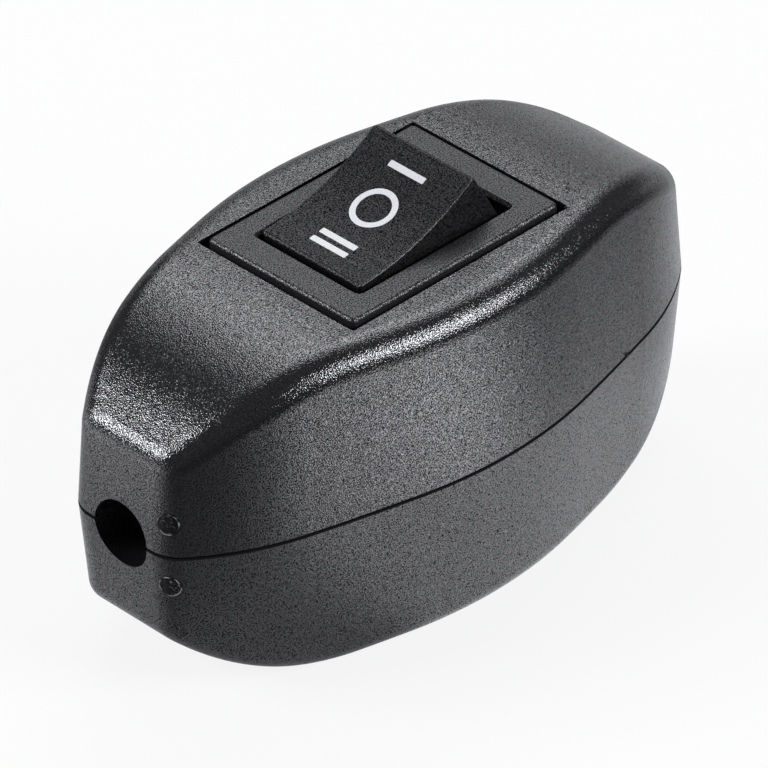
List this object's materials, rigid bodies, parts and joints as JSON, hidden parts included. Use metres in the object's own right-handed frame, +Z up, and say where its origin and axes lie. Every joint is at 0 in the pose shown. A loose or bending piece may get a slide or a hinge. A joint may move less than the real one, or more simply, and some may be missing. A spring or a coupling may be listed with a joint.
{
  "type": "inline cord switch",
  "caption": "Oval two-part housing for a lamp cord, with a round cord inlet at each end and a three-position rocker switch set in its top.",
  "frame": {"origin": "middle of the flat bottom face", "axes": "+X along the cord's path, towards the rocker's I end; +Y across the housing; +Z up, through the rocker"},
  "size_m": [0.053, 0.026, 0.0314],
  "materials": {
    "housing": "black moulded plastic with a spark-eroded grain",
    "switch_body": "black moulded nylon, fine matte",
    "rocker": "black moulded plastic, fine matte",
    "clamp": "dark moulded nylon",
    "screw_steel": "zinc-plated steel",
    "spring_steel": "drawn spring wire",
    "plunger_plastic": "natural acetal",
    "brass": "stamped brass",
    "silver_contact": "silver contact alloy"
  },
  "bodies": {
    "housing": {"upper_housing": "housing", "lower_housing": "housing", "switch_frame": "switch_body", "housing_screw_one": "screw_steel", "housing_screw_two": "screw_steel", "cord_clamp_one": "clamp", "cord_clamp_two": "clamp", "clamp_screw_one": "screw_steel", "clamp_screw_two": "screw_steel", "clamp_screw_three": "screw_steel", "clamp_screw_four": "screw_steel", "common_terminal": "brass", "terminal_one": "brass", "terminal_two": "brass", "fixed_contact_one": "silver_contact", "fixed_contact_two": "silver_contact"},
    "rocker": {"rocker_cap": "rocker", "plunger_spring": "spring_steel"},
    "plunger": {"plunger": "plunger_plastic"},
    "contact_bridge": {"contact_bridge": "brass", "bridge_contact_one": "silver_contact", "bridge_contact_two": "silver_contact"}
  },
  "joints": [
    {"name": "rocker_tilt", "type": "hinge", "parent": "housing", "child": "rocker", "pos_m": [0, 0, 0.02486], "axis": [0, 1, 0], "range_deg": [0, 37]},
    {"name": "contact_tilt", "type": "hinge", "parent": "housing", "child": "contact_bridge", "pos_m": [0, 0, 0.0162], "axis": [0, 1, 0], "range_deg": [-16, 0]},
    {"name": "plunger_slide", "type": "slide", "parent": "rocker", "child": "plunger", "axis": [-0.3173, 0, 0.9483], "range_m": [0, 0.0006], "stiffness_N_per_m": 400, "deforming": ["plunger_spring"]}
  ],
  "couplings": [
    {"joint": "contact_tilt", "follows": "rocker_tilt", "ratio": -0.43243}
  ]
}
